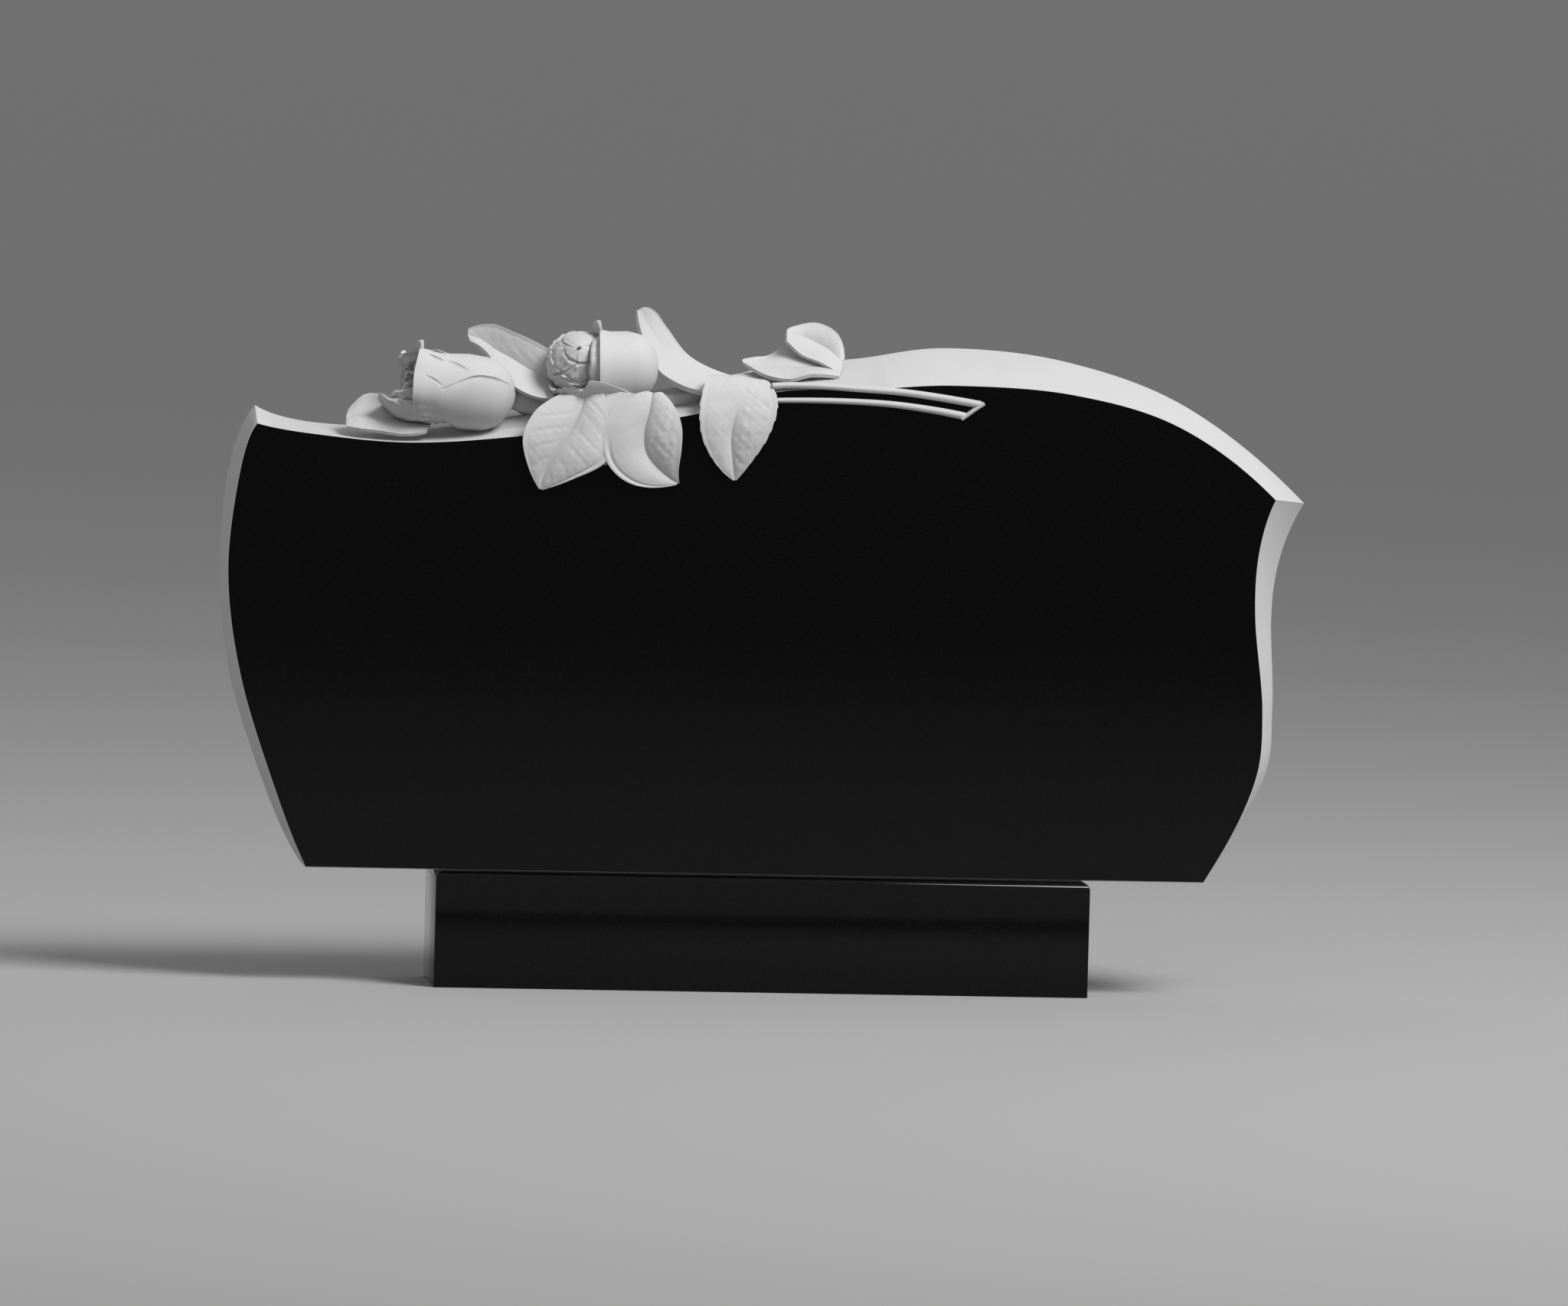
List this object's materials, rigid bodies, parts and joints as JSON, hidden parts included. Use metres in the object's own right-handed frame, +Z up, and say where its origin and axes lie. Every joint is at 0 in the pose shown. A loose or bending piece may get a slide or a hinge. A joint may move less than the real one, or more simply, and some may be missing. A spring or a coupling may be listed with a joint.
{
  "type": "horizontal headstone",
  "caption": "Free-standing horizontal headstone of polished black stone with a carved spray of roses, leaves and cut stems over its top edge, on a low plinth; marks a grave.",
  "frame": {"origin": "middle of the plinth's underside, which stands on the ground", "axes": "+Z up, +X along the slab's width to the right as seen from the front, and the polished face looks towards -Y"},
  "size_m": [1.1997, 0.1617, 0.7489],
  "materials": {
    "polished_black_stone": "polished",
    "honed_stone": "honed"
  },
  "bodies": {
    "root": {"stele": "polished_black_stone", "plinth": "polished_black_stone"}
  },
  "joints": []
}
